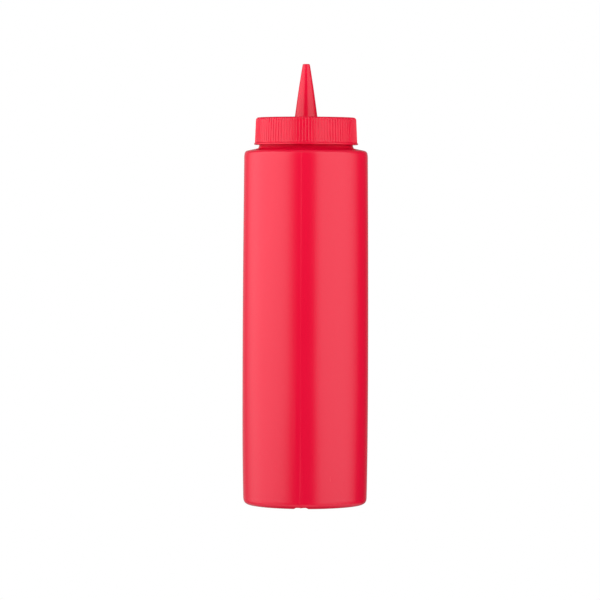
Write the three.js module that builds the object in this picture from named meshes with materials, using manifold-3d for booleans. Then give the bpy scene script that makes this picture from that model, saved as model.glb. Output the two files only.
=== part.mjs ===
// A squeeze bottle for sauces: a blown bottle with a straight, slightly barrelled body, closed by a ribbed
// screw cap that is moulded in one piece with its cone nozzle. Millimetres, +Z up, the origin at the centre
// of the ring it stands on, and the front towards -Y.
import * as THREE from "three";
import { mergeVertices } from "three/addons/utils/BufferGeometryUtils.js";
import Module from "manifold-3d";

const wasm = await Module();
wasm.setup();

// Heights above the floor
const SHOULDER_EDGE_Z = 198.2; // where the barrel and the shoulder would meet if their corner were sharp
const NECK_ROOT_Z = 199.7; // where the shoulder meets the neck
const NECK_TAPER_Z = 200.3; // the neck draws in from here until it is inside the cap
const CAP_BOTTOM_Z = 201.7;
const CAP_TOP_Z = 217;
const TIP_Z = 247;

// The bottle
const BARREL_END_RADIUS = 34.7; // at the heel and at the shoulder
const BARREL_BULGE = 0.7; // how much fuller the barrel is below its middle
const BARREL_FULLEST_Z = 75;
const BARREL_ROWS = 7;
const HEEL_FILLET = 2.9;
const STANDING_RING_INNER = 28.4;
const STANDING_RING_FILLET = 1.4;
const PUSH_UP = 3.4; // height of the hollow under the base, at its centre
const PUSH_UP_POWER = 0.8; // under 1, the hollow is steeper at its edge than a parabola
const PUSH_UP_ROWS = 4;
const SHOULDER_FILLET = 2.2;
const NECK_RADIUS = 26.6; // at its root
const NECK_TOP_RADIUS = 26.15; // inside the cap
const NECK_FILLET = 0.5;

// The line where the two halves of the blow mould meet
const SEAM_ANGLE = THREE.MathUtils.degToRad(-93.8); // its front line stands a little left of the middle
const SEAM_HEIGHT = 0.12;
const SEAM_WIDTH = 0.7;
const NOTCH_HEIGHT = 0.75; // the seam's notch through the standing ring
const NOTCH_WIDTH = 7.6;
const NOTCH_SLOPE = 1.2; // how much each side of the notch leans in
const TAIL_HEIGHT = 0.2; // the seam hangs this much into the notch

// The cap's skirt and top
const SKIRT_INNER = 26.55;
const SKIRT_TOP_RADIUS = 27.94; // between the ribs
const SKIRT_BOTTOM_RADIUS = 28.49;
const LIP_RADIUS = 29.2;
const LIP_HEIGHT = 0.95;
const CAP_EDGE_FILLET = 1.4;
const CAP_WALL = 1.6;
const NECK_GAP = 0.4; // between the top of the neck and the underside of the cap

// The ribs round the skirt
const RIB_COUNT = 100;
const RIB_HEIGHT = 0.23;
const RIB_WIDTH = 0.74; // at its root
const RIB_CREST = 0.14; // share of that width left at its crest
const RIB_END_FILLET = 0.6; // rounds its upper end over, where it dies into the top edge

// The nozzle
const NOZZLE_ROOT_RADIUS = 6.45;
const NOZZLE_ROOT_FILLET = 0.7;
const NOZZLE_TIP_RADIUS = 2.05;
const NOZZLE_TIP_FILLET = 0.6;
const NOZZLE_BULGE = 0.12; // how much fuller than a true cone it is, halfway up
const ORIFICE_RADIUS = 1.05;
const ORIFICE_FILLET = 0.2;
const ORIFICE_DEPTH = 12;
const ORIFICE_END_RADIUS = 1.3;

// How finely round things are faceted
const BOTTLE_SEGMENTS = 72;
const NOZZLE_SEGMENTS = 36;
const FILLET_TOLERANCE = 0.04; // how far a fillet's chords may lie inside its arc

// An outline from corners [radius, height, fillet]: each corner with a fillet becomes an arc.
function filleted(corners) {
  const outline = [];
  corners.forEach(([r, z, fillet = 0], i) => {
    const corner = new THREE.Vector2(r, z);
    if (!fillet) {
      outline.push(corner);
      return;
    }
    const before = new THREE.Vector2(...corners[i - 1].slice(0, 2)).sub(corner).normalize();
    const after = new THREE.Vector2(...corners[i + 1].slice(0, 2)).sub(corner).normalize();
    const opening = Math.acos(THREE.MathUtils.clamp(before.dot(after), -1, 1));
    const middle = before.clone().add(after).normalize();
    const centre = middle.clone().multiplyScalar(fillet / Math.sin(opening / 2)).add(corner);
    const turn = (Math.PI - opening) * Math.sign(before.cross(after));
    const start = before.multiplyScalar(fillet / Math.tan(opening / 2)).add(corner);
    const chord = 2 * Math.acos(1 - FILLET_TOLERANCE / fillet);
    const steps = Math.max(1, Math.round(Math.abs(turn) / chord));
    for (let k = 0; k <= steps; k++) outline.push(start.clone().rotateAround(centre, (-turn * k) / steps));
  });
  return outline;
}

// A closed geometry as a solid, and a solid as a geometry.
function solidOf(geometry) {
  const bare = geometry.clone();
  bare.deleteAttribute("normal");
  bare.deleteAttribute("uv");
  const merged = mergeVertices(bare, 1e-4);
  return new wasm.Manifold(
    new wasm.Mesh({
      numProp: 3,
      vertProperties: new Float32Array(merged.attributes.position.array),
      triVerts: new Uint32Array(merged.index.array),
    }),
  );
}

function geometryOf(solid) {
  const mesh = solid.getMesh();
  const geometry = new THREE.BufferGeometry();
  geometry.setAttribute("position", new THREE.BufferAttribute(mesh.vertProperties, mesh.numProp));
  geometry.setIndex(new THREE.BufferAttribute(mesh.triVerts, 1));
  const faceted = geometry.toNonIndexed();
  faceted.computeVertexNormals();
  return faceted;
}

// An outline of radius and height, turned about the Z axis.
function turned(outline, segments) {
  return new THREE.LatheGeometry(outline, segments).rotateX(Math.PI / 2);
}

// The barrel's radius: fullest below its middle, from where it falls away by the square of the distance upwards,
// and by its cube downwards.
function barrelRadius(z) {
  const above = Math.max(0, z - BARREL_FULLEST_Z) / (SHOULDER_EDGE_Z - BARREL_FULLEST_Z);
  const below = Math.max(0, BARREL_FULLEST_Z - z) / BARREL_FULLEST_Z;
  return BARREL_END_RADIUS + BARREL_BULGE * (1 - above ** 2 - below ** 3);
}

// The bottle's outline from the middle of its base to its shoulder, grown outwards by a margin.
function bodyCorners(margin) {
  const dome = Array.from({ length: PUSH_UP_ROWS }, (_, i) => {
    const r = (STANDING_RING_INNER * i) / PUSH_UP_ROWS;
    return [r, PUSH_UP * (1 - (r / STANDING_RING_INNER) ** 2) ** PUSH_UP_POWER - margin];
  });
  const barrel = Array.from({ length: BARREL_ROWS }, (_, i) => {
    const z = THREE.MathUtils.mapLinear(i, 0, BARREL_ROWS - 1, 2 * HEEL_FILLET, SHOULDER_EDGE_Z - 2 * SHOULDER_FILLET);
    return [barrelRadius(z) + margin, z];
  });
  return [
    ...dome,
    [STANDING_RING_INNER, -margin, STANDING_RING_FILLET],
    [BARREL_END_RADIUS + margin, -margin, HEEL_FILLET],
    ...barrel,
    [BARREL_END_RADIUS + margin, SHOULDER_EDGE_Z + margin, SHOULDER_FILLET],
    [NECK_RADIUS, NECK_ROOT_Z + margin, margin ? 0 : NECK_FILLET],
  ];
}

// The ridge left along the parting line: a thin plate through the whole bottle that stands proud all round,
// but never reaches down to the floor.
function seamPlate() {
  const lowest = NOTCH_HEIGHT - TAIL_HEIGHT;
  const right = filleted(bodyCorners(SEAM_HEIGHT));
  right.forEach((p) => (p.y = Math.max(p.y, lowest)));
  const left = right.slice(1).reverse();
  const outline = new THREE.Shape([...right, ...left.map((p) => new THREE.Vector2(-p.x, p.y))]);
  return new THREE.ExtrudeGeometry(outline, { depth: SEAM_WIDTH, bevelEnabled: false })
    .translate(0, 0, -SEAM_WIDTH / 2)
    .rotateX(Math.PI / 2)
    .rotateZ(SEAM_ANGLE);
}

// What the mould's pinch-off leaves free of the floor: a shallow channel across the base, along the seam.
function seamNotch() {
  const low = -1;
  const length = 2 * (BARREL_END_RADIUS + 2);
  const half = NOTCH_WIDTH / 2;
  const outline = new THREE.Shape([
    new THREE.Vector2(-half, low),
    new THREE.Vector2(half, low),
    new THREE.Vector2(half, 0),
    new THREE.Vector2(half - NOTCH_SLOPE, NOTCH_HEIGHT),
    new THREE.Vector2(-half + NOTCH_SLOPE, NOTCH_HEIGHT),
    new THREE.Vector2(-half, 0),
  ]);
  return new THREE.ExtrudeGeometry(outline, { depth: length, bevelEnabled: false })
    .translate(0, 0, -length / 2)
    .rotateX(Math.PI / 2)
    .rotateZ(SEAM_ANGLE + Math.PI / 2);
}

function bottleGeometry() {
  const neckTop = CAP_TOP_Z - CAP_WALL - NECK_GAP;
  const neck = [
    [NECK_RADIUS, NECK_TAPER_Z],
    [NECK_TOP_RADIUS, CAP_BOTTOM_Z],
    [NECK_TOP_RADIUS, neckTop],
  ];
  const corners = [...bodyCorners(0), ...neck, [0, neckTop]];
  const blown = solidOf(turned(filleted(corners), BOTTLE_SEGMENTS));
  return geometryOf(blown.subtract(solidOf(seamNotch())).add(solidOf(seamPlate())));
}

// The cap without its ribs: the skirt with its lip, and the flat top.
function capShell() {
  const underside = CAP_TOP_Z - CAP_WALL;
  return turned(
    filleted([
      [0, underside],
      [SKIRT_INNER, underside],
      [SKIRT_INNER, CAP_BOTTOM_Z],
      [LIP_RADIUS, CAP_BOTTOM_Z, LIP_HEIGHT / 4],
      [LIP_RADIUS, CAP_BOTTOM_Z + LIP_HEIGHT, LIP_HEIGHT / 4],
      [SKIRT_BOTTOM_RADIUS, CAP_BOTTOM_Z + LIP_HEIGHT],
      [SKIRT_TOP_RADIUS, CAP_TOP_Z, CAP_EDGE_FILLET],
      [0, CAP_TOP_Z],
    ]),
    RIB_COUNT,
  );
}

// One rib, seen from its side as an outline of radius and height that follows the skirt and dies into the
// rounded top edge. Its flanks lean in from root to crest.
function rib() {
  const root = (SKIRT_INNER + SKIRT_TOP_RADIUS) / 2;
  const head = CAP_TOP_Z - CAP_EDGE_FILLET / 2;
  const foot = CAP_BOTTOM_Z + LIP_HEIGHT / 2;
  const outline = filleted([
    [root, foot],
    [SKIRT_BOTTOM_RADIUS + RIB_HEIGHT, foot],
    [SKIRT_TOP_RADIUS + RIB_HEIGHT, head, RIB_END_FILLET],
    [root, head],
  ]);
  const geometry = new THREE.ExtrudeGeometry(new THREE.Shape(outline), { depth: RIB_WIDTH, bevelEnabled: false })
    .translate(0, 0, -RIB_WIDTH / 2)
    .rotateX(Math.PI / 2);
  const position = geometry.attributes.position;
  for (let i = 0; i < position.count; i++) {
    const skirt = THREE.MathUtils.mapLinear(position.getZ(i), foot, CAP_TOP_Z, SKIRT_BOTTOM_RADIUS, SKIRT_TOP_RADIUS);
    const out = THREE.MathUtils.clamp((position.getX(i) - skirt) / RIB_HEIGHT, 0, 1);
    position.setY(i, position.getY(i) * THREE.MathUtils.lerp(1, RIB_CREST, out));
  }
  return geometry;
}

// The cone nozzle, with the hole at its tip.
function nozzle() {
  return turned(
    filleted([
      [0, CAP_TOP_Z - CAP_WALL / 2],
      [NOZZLE_ROOT_RADIUS + NOZZLE_ROOT_FILLET, CAP_TOP_Z - CAP_WALL / 2],
      [NOZZLE_ROOT_RADIUS + NOZZLE_ROOT_FILLET, CAP_TOP_Z],
      [NOZZLE_ROOT_RADIUS, CAP_TOP_Z, NOZZLE_ROOT_FILLET / 2],
      [(NOZZLE_ROOT_RADIUS + NOZZLE_TIP_RADIUS) / 2 + NOZZLE_BULGE, (CAP_TOP_Z + TIP_Z) / 2],
      [NOZZLE_TIP_RADIUS, TIP_Z, NOZZLE_TIP_FILLET],
      [ORIFICE_RADIUS, TIP_Z, ORIFICE_FILLET],
      [ORIFICE_END_RADIUS, TIP_Z - ORIFICE_DEPTH],
      [0, TIP_Z - ORIFICE_DEPTH],
    ]),
    NOZZLE_SEGMENTS,
  );
}

function capGeometry() {
  const ribs = Array.from({ length: RIB_COUNT }, (_, i) => {
    const turn = ((i + 0.5) * 2 * Math.PI) / RIB_COUNT;
    return solidOf(rib().rotateZ(turn));
  });
  return geometryOf(wasm.Manifold.union([solidOf(capShell()), solidOf(nozzle()), ...ribs]));
}

function material(colour, roughness) {
  return new THREE.MeshStandardMaterial({ color: colour, roughness, metalness: 0 });
}

const bottle = new THREE.Mesh(bottleGeometry(), material("#e8143a", 0.42));
bottle.name = "bottle";

const cap = new THREE.Mesh(capGeometry(), material("#e61a3c", 0.45));
cap.name = "cap";

const squeezeBottle = new THREE.Group();
squeezeBottle.name = "squeeze_bottle";
squeezeBottle.add(bottle, cap);

export default squeezeBottle;
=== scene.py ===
"""A red squeeze bottle for sauces: a blown bottle with a straight barrel, and a ribbed screw cap moulded in
one piece with its cone nozzle. It follows the object as it is put together: the camera and the studio first,
then the bottle, then the cap. Sizes are in millimetres until a mesh is made, which is in metres."""

import math

import bpy
import numpy as np
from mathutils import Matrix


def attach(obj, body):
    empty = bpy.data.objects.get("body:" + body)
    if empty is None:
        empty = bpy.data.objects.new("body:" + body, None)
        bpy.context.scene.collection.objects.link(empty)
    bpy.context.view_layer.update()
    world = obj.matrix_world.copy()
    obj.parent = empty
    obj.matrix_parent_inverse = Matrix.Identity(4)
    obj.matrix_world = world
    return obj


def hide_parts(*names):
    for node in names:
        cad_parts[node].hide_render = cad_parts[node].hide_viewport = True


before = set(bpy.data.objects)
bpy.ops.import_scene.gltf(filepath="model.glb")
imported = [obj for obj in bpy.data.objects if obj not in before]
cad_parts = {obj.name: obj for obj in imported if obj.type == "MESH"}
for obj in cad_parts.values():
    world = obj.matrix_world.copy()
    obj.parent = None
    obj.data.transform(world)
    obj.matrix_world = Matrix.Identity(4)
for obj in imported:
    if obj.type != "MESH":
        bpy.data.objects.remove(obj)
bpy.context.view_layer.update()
scene = bpy.context.scene

# The camera: a long lens from well back, a little under the height of the shoulder. It looks slightly down,
# and the bottle leans a hair to the right in its picture.
camera_lens = bpy.data.cameras.new("camera")
camera_lens.sensor_width = 36
camera_lens.lens = 195.95
camera_lens.clip_end = 50
camera = bpy.data.objects.new("camera", camera_lens)
camera.location = (-0.0033, -1.833, 0.173)
camera.rotation_euler = (math.radians(90 - 1.821), math.radians(-0.17), 0)
scene.collection.objects.link(camera)
scene.camera = camera


# The studio: a tall soft box on either side of the camera, a plain white floor, and a room that is white to
# the camera alone. The room lights the bottle by direction: at half strength or less from behind and above,
# and off the table in front a little more strongly than the white that the camera sees.
class Wire:
    """One output of a shader node, used in sums like a number: each operator adds its own Math node."""

    def __init__(self, board, socket):
        self.board, self.socket = board, socket

    def __add__(self, other):
        return self.board.maths("ADD", self, other)

    def __sub__(self, other):
        return self.board.maths("SUBTRACT", self, other)

    def __mul__(self, other):
        return self.board.maths("MULTIPLY", self, other)

    def __rsub__(self, other):
        return self.board.maths("SUBTRACT", other, self)

    __radd__, __rmul__ = __add__, __mul__


class Board:
    """The nodes of one material, lamp or world. node() adds any node and maths() a Math node, as wires."""

    def __init__(self, owner):
        owner.use_nodes = True
        self.tree = owner.node_tree
        self.tree.nodes.clear()

    def node(self, kind, settings=None, inputs=None, output=0):
        """Adds a node: its settings first, then the value or wire of each socket, by name or place."""
        node = self.tree.nodes.new("ShaderNode" + kind)
        for name, value in (settings or {}).items():
            if name == "stops":
                ramp = node.color_ramp.elements
                for i, (place, shade) in enumerate(value):
                    stop = ramp[i] if i < 2 else ramp.new(place)
                    stop.position, stop.color = place, (*shade, 1)
            else:
                setattr(node, name, value)
        for name, value in (inputs or {}).items():
            if isinstance(value, Wire):
                self.tree.links.new(value.socket, node.inputs[name])
            else:
                node.inputs[name].default_value = value
        return Wire(self, node.outputs[output]) if node.outputs else node

    def maths(self, operation, *terms):
        return self.node("Math", {"operation": operation}, dict(enumerate(terms)))

    def ease(self, value, start, end, low=0.0, high=1.0):
        """Runs smoothly from low to high as the value goes from start to end, and stays level beyond them."""
        reach = {"Value": value, "From Min": start, "From Max": end, "To Min": low, "To Max": high}
        return self.node("MapRange", {"interpolation_type": "SMOOTHSTEP"}, reach)


world = bpy.data.worlds.new("studio")
scene.world = world
room = Board(world)
seen = room.node("LightPath", output=0)
rightward = room.node("SeparateXYZ", inputs={0: room.node("TexCoord", output=0)})
backward, upward = (Wire(room, rightward.socket.node.outputs[i]) for i in (1, 2))
behind = room.ease(backward, 0.82, 1.0, 0.03, 0.3)
behind += room.ease(rightward, 0, -0.25, 0, 0.17) * room.ease(backward, 0.6, 0.78)
above = room.ease(upward, 0.32, 0.65, 0, 0.3) + room.ease(upward, -0.06, 0.03, 0, 0.1)
below = room.ease(upward, -0.46, -0.26, 1.1, 0) * room.ease(upward, -0.98, -0.6, 0.15, 1)
around = (above + below) * room.ease(backward, 0.8, -0.4, 0.3, 1)
strength = seen + (1 - seen) * (behind + around)
light = room.node("Background", inputs={"Color": (1, 1, 1, 1), "Strength": strength})
room.node("OutputWorld", inputs={0: light})

scene.view_settings.view_transform = "Standard"
scene.view_settings.look = "None"

# Each soft box is a flat sheet of light that fades towards its edges and is masked lower at its far end. Its
# bearings are counted round the bottle from the camera, to the right; its fade gives its strength at each.
# The heights where it is dimmed and where it is masked are in metres above the table.
SOFT_BOXES = {
    "soft_box_left": dict(
        reach=0.5,
        height=0.85,
        power=2.2,
        dimmed_below=0.67,
        fade={-17: 0, -24: 0.25, -32: 0.71, -42: 0.95, -66: 1, -90: 0.92, -105: 0.83, -120: 0.47, -136: 0},
    ),
    "soft_box_right": dict(
        reach=0.55,
        height=1.4,
        power=1.9,
        dimmed_below=0.84,
        fade={13.5: 0, 18: 0.42, 22: 0.8, 29: 1, 60: 1, 76: 0.91, 88: 0.72, 98: 0.42, 111: 0},
    ),
}
BOX_LOW = -0.16
DIMMED_UP_TO = 0.25
MASKED_FROM, MASKED_TO = 0.28, 0.43
MASK_RISE = 0.9
for name, box in SOFT_BOXES.items():
    bearings = np.radians(sorted(box["fade"]))
    strengths = [box["fade"][b] for b in sorted(box["fade"])]
    middle, half_spread = bearings[[0, -1]].mean(), (bearings[-1] - bearings[0]) / 2
    panel = bpy.data.lights.new(name, "AREA")
    panel.shape = "RECTANGLE"
    panel.size = 2 * box["reach"] * math.tan(half_spread)
    panel.size_y = box["height"] - BOX_LOW
    panel.energy = box["power"] * math.pi * panel.size * panel.size_y
    sheet = Board(panel)
    across = sheet.node("SeparateXYZ", inputs={0: sheet.node("NewGeometry", output=5)})
    upwards = Wire(sheet, across.socket.node.outputs[1])
    places = 0.5 + 0.5 * np.tan(bearings - middle) / math.tan(half_spread)
    fade = sheet.node("ValToRGB", {"stops": [(p, (k, k, k)) for p, k in zip(places, strengths)]}, {0: across})
    level = (np.array([BOX_LOW, DIMMED_UP_TO]) - BOX_LOW) / panel.size_y
    mask = (np.array([MASKED_FROM, MASKED_TO]) - BOX_LOW) / panel.size_y
    near = (across if middle < 0 else 1 - across) * (MASK_RISE / panel.size_y)
    masked = sheet.ease(upwards - near, *mask, 1, 0)
    even = sheet.ease(upwards, *level, box["dimmed_below"]) * masked
    glow = sheet.node("Emission", inputs={"Color": fade, "Strength": even})
    sheet.node("OutputLight", inputs={0: glow})
    lamp = bpy.data.objects.new(name, panel)
    lamp.location = (
        box["reach"] * math.sin(middle),
        -box["reach"] * math.cos(middle),
        (box["height"] + BOX_LOW) / 2,
    )
    lamp.rotation_euler = (math.radians(90), 0, middle)
    lamp.visible_camera = False
    scene.collection.objects.link(lamp)

paper = bpy.data.materials.new("floor_paper")
board = Board(paper)
white = board.node("Emission", inputs={"Color": (1, 1, 1, 1), "Strength": 1.0})
board.node("OutputMaterial", inputs={0: white})
floor_mesh = bpy.data.meshes.new("floor")
FLOOR_REACH = 3
FLOOR_DROP = -2e-4
corners = [(x * FLOOR_REACH, y * FLOOR_REACH, FLOOR_DROP) for x, y in ((-1, -1), (1, -1), (1, 1), (-1, 1))]
floor_mesh.from_pydata(corners, [], [(0, 1, 2, 3)])
floor_mesh.materials.append(paper)
floor = bpy.data.objects.new("floor", floor_mesh)
floor.visible_glossy = False
floor.visible_diffuse = False
floor.visible_shadow = False
scene.collection.objects.link(floor)

# The bottle: soft red polyethylene, blown in a mould of two halves. The halves leave a fine raised line up
# the front and the back, which is notched where the mould nipped the blank off under the standing ring.
BARREL_END_RADIUS = 34.65
BARREL_BULGE = 0.68
BARREL_FULLEST = 75
SHOULDER_EDGE = 198.2
SHOULDER_FILLET = 2.2
SHOULDER_CENTRE = (32.3, 196.35)
HEEL_FILLET = 2.9
STANDING_RING = 28.4
PUSH_UP = 3.4
PUSH_UP_POWER = 0.8
NECK_RADIUS = 26.7
NECK_TOP_RADIUS = 26.15
NECK_ROOT = 199.7
NECK_TOP = 214.9
NECK_FILLET = 0.5
LIP_CHAMFER = 0.4
SEAM_BEARING = math.radians(-3.8)
SEAM_HEIGHT = 0.075
SEAM_HALF_WIDTH = 0.42
SEAM_FOOT = 40
SEAM_LOWEST = 85
SEAM_RISE = 75
SEAM_TOP = 200.5
NOTCH_HEIGHT = 0.8
NOTCH_HALF_WIDTH = 3.5
NOTCH_SLOPE = 1.8
TAIL_HEIGHT = 0.15
TAIL_HALF_WIDTH = 0.7
FLAT_DEPTH = 0.17
FLAT_BEARING = 0.04
FLAT_TOP = 70
DIE_LINE_BEARING = -0.152
DIE_LINE_MIDDLE = 46
DIE_LINE_REACH = 17
DIE_LINE_HEIGHT = 0.035
DIE_LINE_HALF_WIDTH = 1.0
DIE_LINE_RADIUS = 35


def arc(centre, radius, start, end, steps):
    """Points on a circle round centre, from one angle to another, in degrees: the radius times its cosine and
    sine."""
    turn = np.radians(np.linspace(start, end, steps))
    return np.stack([centre[0] + radius * np.cos(turn), centre[1] + radius * np.sin(turn)], 1)


def line(start, end, steps):
    """Evenly spaced points between two points, without the two ends, which the neighbouring arcs give."""
    return np.linspace(start, end, steps + 2)[1:-1]


def barrel_radius(height):
    """The barrel's radius at a height: fullest below its middle, from where it falls away by the square of
    the distance upwards, and by its cube downwards."""
    above = np.clip((height - BARREL_FULLEST) / (SHOULDER_EDGE - BARREL_FULLEST), 0, 1)
    below = np.clip(1 - height / BARREL_FULLEST, 0, 1)
    return BARREL_END_RADIUS + BARREL_BULGE * (1 - above**2 - below**3)


def bottle_outline():
    """The bottle's half section, in (radius, height), from the middle of its base up to its neck's top."""
    dome = np.linspace(0, STANDING_RING, 26)[:-1]
    dome = np.stack([dome, PUSH_UP * (1 - (dome / STANDING_RING) ** 2) ** PUSH_UP_POWER], 1)
    ring = line((STANDING_RING, 0.0), (BARREL_END_RADIUS - HEEL_FILLET, 0), 7)
    heel = arc((BARREL_END_RADIUS - HEEL_FILLET, HEEL_FILLET), HEEL_FILLET, -90, -2, 14)
    low = np.arange(3.6, 9, 0.3)
    tall = np.concatenate([low, np.linspace(9.5, 195.2, 74)])
    barrel = np.stack([barrel_radius(tall), tall], 1)
    corner = arc(SHOULDER_CENTRE, SHOULDER_FILLET, 4, 79.6, 12)
    root = arc((NECK_RADIUS + NECK_FILLET, NECK_ROOT + NECK_FILLET), NECK_FILLET, 257, 197, 7)
    shoulder = line(corner[-1], root[0], 10)
    taper = np.array([[NECK_RADIUS - draw, h] for draw, h in ((0.04, 200.2), (0.17, 200.55), (0.34, 201.05))])
    neck = np.array([[NECK_TOP_RADIUS, h] for h in (202, 208, NECK_TOP - LIP_CHAMFER)])
    lip = np.array([[r, NECK_TOP] for r in (NECK_TOP_RADIUS - LIP_CHAMFER, 20, 10, 0)])
    return np.concatenate([dome, ring, heel, barrel, corner, shoulder, root, taper, neck, lip])


def bottle_bearings():
    """The bearings of the bottle's columns: every 1.3 degrees, five times closer beside the parting line."""
    wide = np.radians(np.arange(0, 360, 1.3))
    close = np.radians(np.arange(-8.6, 8.7, 0.25))
    round_seam = np.concatenate([SEAM_BEARING + close, SEAM_BEARING + math.pi + close])
    far = np.abs(np.sin(wide - SEAM_BEARING)) > math.sin(math.radians(9.3))
    return np.sort(np.mod(np.concatenate([wide[far], round_seam]), 2 * math.pi))


def outward(outline):
    """The way each point of an outline faces: its direction turned by a right angle, of length one."""
    way = np.gradient(outline, axis=0)
    way /= np.maximum(np.hypot(way[:, 0], way[:, 1]), 1e-9)[:, None]
    return np.stack([way[:, 1], -way[:, 0]], 1)


def swell(bearing, height):
    """How far the blown wall strays from a true round, in mm: a few slow waves of the bearing and the height;
    a ripple of five waves round the lowest part, flatter than a true round at the front, which dies out
    upwards; and one fine line, as a die leaves it, beside the front parting line."""
    slow = 0.035 * np.sin(2 * bearing + 0.6 + height / 170) + 0.02 * np.sin(3 * bearing - height / 60 + 1.0)
    slow = slow + 0.012 * np.sin(5 * bearing + height / 33) * np.cos(height / 47 + 2 * np.sin(bearing))
    fall = np.clip((FLAT_TOP - height) / (FLAT_TOP / 2), 0, 1)
    fade = fall**2 * (3 - 2 * fall) * np.clip(height / 4, 0, 1)
    ripple = -FLAT_DEPTH * np.cos(5 * (bearing - FLAT_BEARING)) * fade
    aside = (np.mod(bearing + math.pi, 2 * math.pi) - math.pi - DIE_LINE_BEARING) * DIE_LINE_RADIUS
    along = (height - DIE_LINE_MIDDLE) / DIE_LINE_REACH
    drawn = DIE_LINE_HEIGHT * np.exp(-((aside / DIE_LINE_HALF_WIDTH) ** 2) - along**2)
    return slow * np.clip((height - 2) / 20, 0, 1) + ripple + drawn


def bottle_surface():
    """The section turned about the upright axis: x is r times the bearing's sine, y is minus r times its
    cosine. The parting line stands out by a bell curve of the distance to it, lowest near the barrel's
    fullest part, and wider and higher at the foot. The notch lifts what is under it."""
    outline = bottle_outline()
    facing = outward(outline)
    bearing = bottle_bearings()[None, :]
    radius, height = outline[:, 0:1], outline[:, 1:2]
    from_seam = np.abs(np.arcsin(np.sin(bearing - SEAM_BEARING))) * radius
    wall = np.clip((196 - height) / 20, 0, 1) * (radius > 30)
    below_cap = np.clip(SEAM_TOP - height, 0, 1)
    foot = np.clip(1 - height / SEAM_FOOT, 0, 1)
    raised = SEAM_HEIGHT * (0.5 + 0.5 * np.clip(np.abs(height - SEAM_LOWEST) / SEAM_RISE, 0, 1) + 0.8 * foot)
    bell = np.exp(-((from_seam / SEAM_HALF_WIDTH / (1 + foot**2)) ** 2))
    proud = raised * bell * below_cap + swell(bearing, height) * wall
    r = radius + proud * facing[:, 0:1]
    z = height + proud * facing[:, 1:2]
    side = np.clip((NOTCH_HALF_WIDTH - from_seam) / NOTCH_SLOPE + 0.5, 0, 1)
    tail = TAIL_HEIGHT * np.exp(-((from_seam / TAIL_HALF_WIDTH) ** 2))
    roof = NOTCH_HEIGHT * side**2 * (3 - 2 * side) - tail * (side > 0)
    z = np.where(radius > 5, np.maximum(z, np.maximum(roof, 0)), z)
    return np.stack([r * np.sin(bearing), -r * np.cos(bearing), z], 2)


def skin(name, surface):
    """A closed mesh from a grid of points: rows run from pole to pole, columns run round, and each pole's row
    becomes one point. Millimetres become metres."""
    rows, columns = surface.shape[:2]
    points = np.concatenate([surface[0, :1], surface[1:-1].reshape(-1, 3), surface[-1, :1]]) / 1000
    here = np.arange(columns)
    beside = np.roll(here, -1)
    row = (np.arange(rows - 3) * columns)[:, None] + 1
    above = row + columns
    walls = np.stack([row + here, row + beside, above + beside, above + here], 2).reshape(-1, 4)
    last = len(points) - 1
    start = np.stack([np.zeros(columns, int), 1 + beside, 1 + here], 1)
    end = np.stack([np.full(columns, last), last - columns + here, last - columns + beside], 1)
    mesh = bpy.data.meshes.new(name)
    mesh.from_pydata(points.tolist(), [], walls.tolist() + start.tolist() + end.tolist())
    mesh.polygons.foreach_set("use_smooth", np.ones(len(mesh.polygons), bool))
    mesh.update()
    piece = bpy.data.objects.new(name, mesh)
    scene.collection.objects.link(piece)
    return piece


def blown_plastic():
    """Satin red polyethylene as it leaves a blow mould: the blasted mould's fine tooth, drawn lines that run
    up the wall where the blank was stretched, a faint uneven wall, and light scuffs here and there."""
    material = bpy.data.materials.new("blown_red_polyethylene")
    board = Board(material)
    place = board.node("TexCoord", output=3)

    def grain(scale, stretch=(1, 1, 1), detail=2.0, roughness=0.5):
        held = board.node("VectorMath", {"operation": "MULTIPLY"}, {0: place, 1: stretch})
        sizes = {"Vector": held, "Scale": scale, "Detail": detail, "Roughness": roughness}
        return board.node("TexNoise", inputs=sizes)

    tooth = grain(2600, detail=3)
    drawn = grain(260, (1, 1, 0.018), detail=3, roughness=0.6)
    cloudy = grain(26, (1, 1, 0.45), detail=2)
    scuffs = board.ease(grain(420, (1, 1, 0.12), detail=4, roughness=0.7), 0.66, 0.74)
    relief = tooth * 0.10 + drawn * 0.55 + cloudy * 0.8
    bumped = board.node("Bump", inputs={"Strength": 0.2, "Distance": 0.0002, "Height": relief})
    red = board.node(
        "Mix",
        {"data_type": "RGBA"},
        {"Factor": cloudy, 6: (0.725, 0.0012, 0.030, 1), 7: (0.75, 0.0018, 0.036, 1)},
        output=2,
    )
    shine = 0.22 + (drawn - 0.5) * 0.05 + (cloudy - 0.5) * 0.06 + scuffs * 0.05
    plastic = board.node(
        "BsdfPrincipled",
        inputs={"Base Color": red, "Roughness": shine, "IOR": 1.46, "Normal": bumped},
    )
    board.node("OutputMaterial", inputs={0: plastic})
    return material


bottle = skin("bottle_blown", bottle_surface())
bottle.data.materials.append(blown_plastic())
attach(bottle, "root")
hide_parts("bottle")

# The cap: red polyethylene, moulded in one piece with its nozzle. A hundred fine ribs grip the fingers and
# fade out in the rounded top edge, and a smooth bead closes the skirt below them.
CAP_BOTTOM = 201.7
CAP_TOP = 217.0
SKIRT_BOTTOM_RADIUS = 28.49
SKIRT_TOP_RADIUS = 27.94
SKIRT_INNER = 26.55
CAP_UNDERSIDE = CAP_TOP - 1.6
UNDERSIDE_CHAMFER = 0.3
BEAD_RADIUS = 29.2
BEAD_HEIGHT = 0.95
BEAD_LOWER_FILLET = 0.45
BEAD_UPPER_FILLET = 0.35
TOP_FILLET = 1.6
RIB_COUNT = 100
RIB_HEIGHT = 0.23
RIB_WIDTH = 0.7
RIB_CREST = 0.14
RIB_PHASE = -0.011
NOZZLE_ROOT = 6.45
NOZZLE_TIP = 2.05
NOZZLE_HEIGHT = 247.0
NOZZLE_FULLNESS = 0.12
NOZZLE_ROOT_FILLET = 0.5
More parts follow.
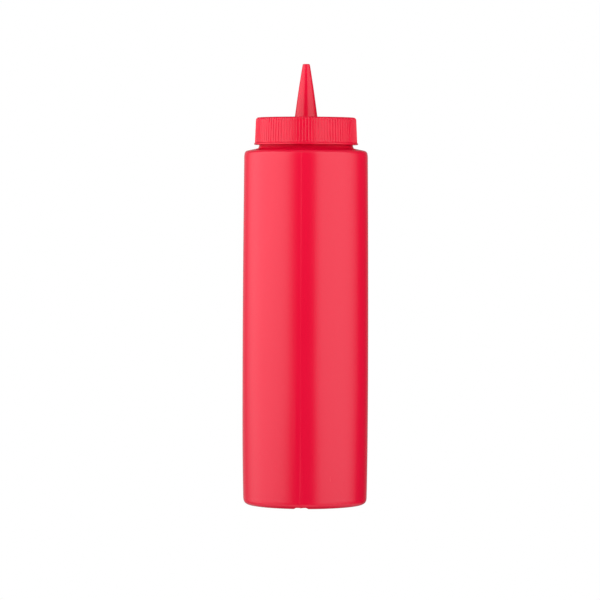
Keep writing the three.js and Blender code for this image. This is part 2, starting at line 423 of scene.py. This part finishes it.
TIP_FILLET = 0.6
ORIFICE = 1.05
MOUTH_FILLET = 0.2
BORE_RADIUS = 1.3
BORE_END = NOZZLE_HEIGHT - 12.0


def cap_outline():
    """The cap's half section: from the middle of its underside, down inside the skirt, round the bead, up the
    ribbed side, over the top, up the nozzle, and down its bore to a closed end."""
    under = line((0, CAP_UNDERSIDE), (SKIRT_INNER - UNDERSIDE_CHAMFER, CAP_UNDERSIDE), 5)
    inner = np.array([[SKIRT_INNER, h] for h in (CAP_UNDERSIDE - UNDERSIDE_CHAMFER, 208.0, CAP_BOTTOM + 0.1)])
    low, high = BEAD_LOWER_FILLET, BEAD_UPPER_FILLET
    lower = arc((BEAD_RADIUS - low, CAP_BOTTOM + low), low, -90, 0, 7)
    upper = arc((BEAD_RADIUS - high, CAP_BOTTOM + BEAD_HEIGHT - high), high, 0, 80, 6)
    side_foot = (SKIRT_BOTTOM_RADIUS, CAP_BOTTOM + BEAD_HEIGHT - 0.1)
    side = line(side_foot, (SKIRT_TOP_RADIUS, CAP_TOP - TOP_FILLET), 24)
    edge = arc((SKIRT_TOP_RADIUS - TOP_FILLET, CAP_TOP - TOP_FILLET), TOP_FILLET, 3, 90, 12)
    top = line(edge[-1], (NOZZLE_ROOT + 0.5, CAP_TOP), 9)
    root = arc((NOZZLE_ROOT + 0.42, CAP_TOP + NOZZLE_ROOT_FILLET), NOZZLE_ROOT_FILLET, 262, 190, 6)
    cone = line(root[-1], (NOZZLE_TIP + 0.06, NOZZLE_HEIGHT - TIP_FILLET), 24)
    cone[:, 0] += NOZZLE_FULLNESS * np.sin(np.linspace(0, math.pi, len(cone)))
    tip = arc((NOZZLE_TIP - TIP_FILLET, NOZZLE_HEIGHT - TIP_FILLET), TIP_FILLET, 8, 90, 7)
    mouth = arc((ORIFICE + MOUTH_FILLET, NOZZLE_HEIGHT - MOUTH_FILLET), MOUTH_FILLET, 90, 180, 5)
    bore = line(mouth[-1], (BORE_RADIUS, BORE_END), 8)
    end = np.array([[r, BORE_END] for r in (BORE_RADIUS, 0.6, 0)])
    start = np.array([[0, CAP_UNDERSIDE]])
    skirt = [start, under, inner, lower, upper, side, edge]
    return np.concatenate([*skirt, top, root, cone, tip, mouth, bore, end])


def cap_surface():
    """The section turned about the upright axis, with ribs on its side. Five columns make a rib and the gap
    after it: its two roots, the two edges of its narrow crest, and the middle of the gap."""
    outline = cap_outline()
    facing = outward(outline)
    radius, height = outline[:, 0:1], outline[:, 1:2]
    pitch = 2 * math.pi / RIB_COUNT
    half, narrow = RIB_WIDTH / 2 / SKIRT_BOTTOM_RADIUS, RIB_CREST / 2 / SKIRT_BOTTOM_RADIUS
    across = np.array([-half, -narrow, narrow, half, pitch / 2])
    bearing = (RIB_PHASE + pitch * np.arange(RIB_COUNT)[:, None] + across).reshape(1, -1)
    crest = np.tile([0, 1, 1, 0, 0], RIB_COUNT)
    low = np.clip((height - CAP_BOTTOM - BEAD_HEIGHT + 0.1) / 0.3, 0, 1)
    high = np.clip((radius - SKIRT_TOP_RADIUS + TOP_FILLET) / TOP_FILLET, 0, 1) ** 0.5
    on_side = (radius < 28.6) * (radius > SKIRT_TOP_RADIUS - TOP_FILLET) * (height > CAP_BOTTOM + 0.5)
    ribbed = low * high * on_side
    proud = RIB_HEIGHT * crest * ribbed
    r = radius + proud * facing[:, 0:1]
    z = np.minimum(height + proud * facing[:, 1:2], np.where(radius > 8, CAP_TOP, NOZZLE_HEIGHT))
    return np.stack([r * np.sin(bearing), -r * np.cos(bearing), z], 2)


def moulded_plastic():
    """Satin red polyethylene as it leaves an injection mould: a finer tooth than the bottle's, faint flow
    marks and light handling scuffs."""
    material = bpy.data.materials.new("moulded_red_polyethylene")
    board = Board(material)
    place = board.node("TexCoord", output=3)
    tooth = board.node("TexNoise", inputs={"Vector": place, "Scale": 3200, "Detail": 3})
    flow = board.node("TexNoise", inputs={"Vector": place, "Scale": 55, "Detail": 2})
    rubbed = board.node("TexNoise", inputs={"Vector": place, "Scale": 700, "Detail": 4})
    scuffs = board.ease(rubbed, 0.64, 0.72)
    relief = tooth * 0.1 + flow * 0.4
    bumped = board.node("Bump", inputs={"Strength": 0.2, "Distance": 0.00015, "Height": relief})
    red = board.node(
        "Mix",
        {"data_type": "RGBA"},
        {"Factor": flow, 6: (0.71, 0.0014, 0.030, 1), 7: (0.75, 0.0020, 0.036, 1)},
        output=2,
    )
    shine = 0.16 + (flow - 0.5) * 0.06 + scuffs * 0.05
    plastic = board.node(
        "BsdfPrincipled",
        inputs={"Base Color": red, "Roughness": shine, "IOR": 1.4, "Normal": bumped},
    )
    board.node("OutputMaterial", inputs={0: plastic})
    return material


cap = skin("cap_with_nozzle", cap_surface())
cap.data.set_sharp_from_angle(angle=math.radians(24))
cap.data.materials.append(moulded_plastic())
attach(cap, "root")
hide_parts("cap")
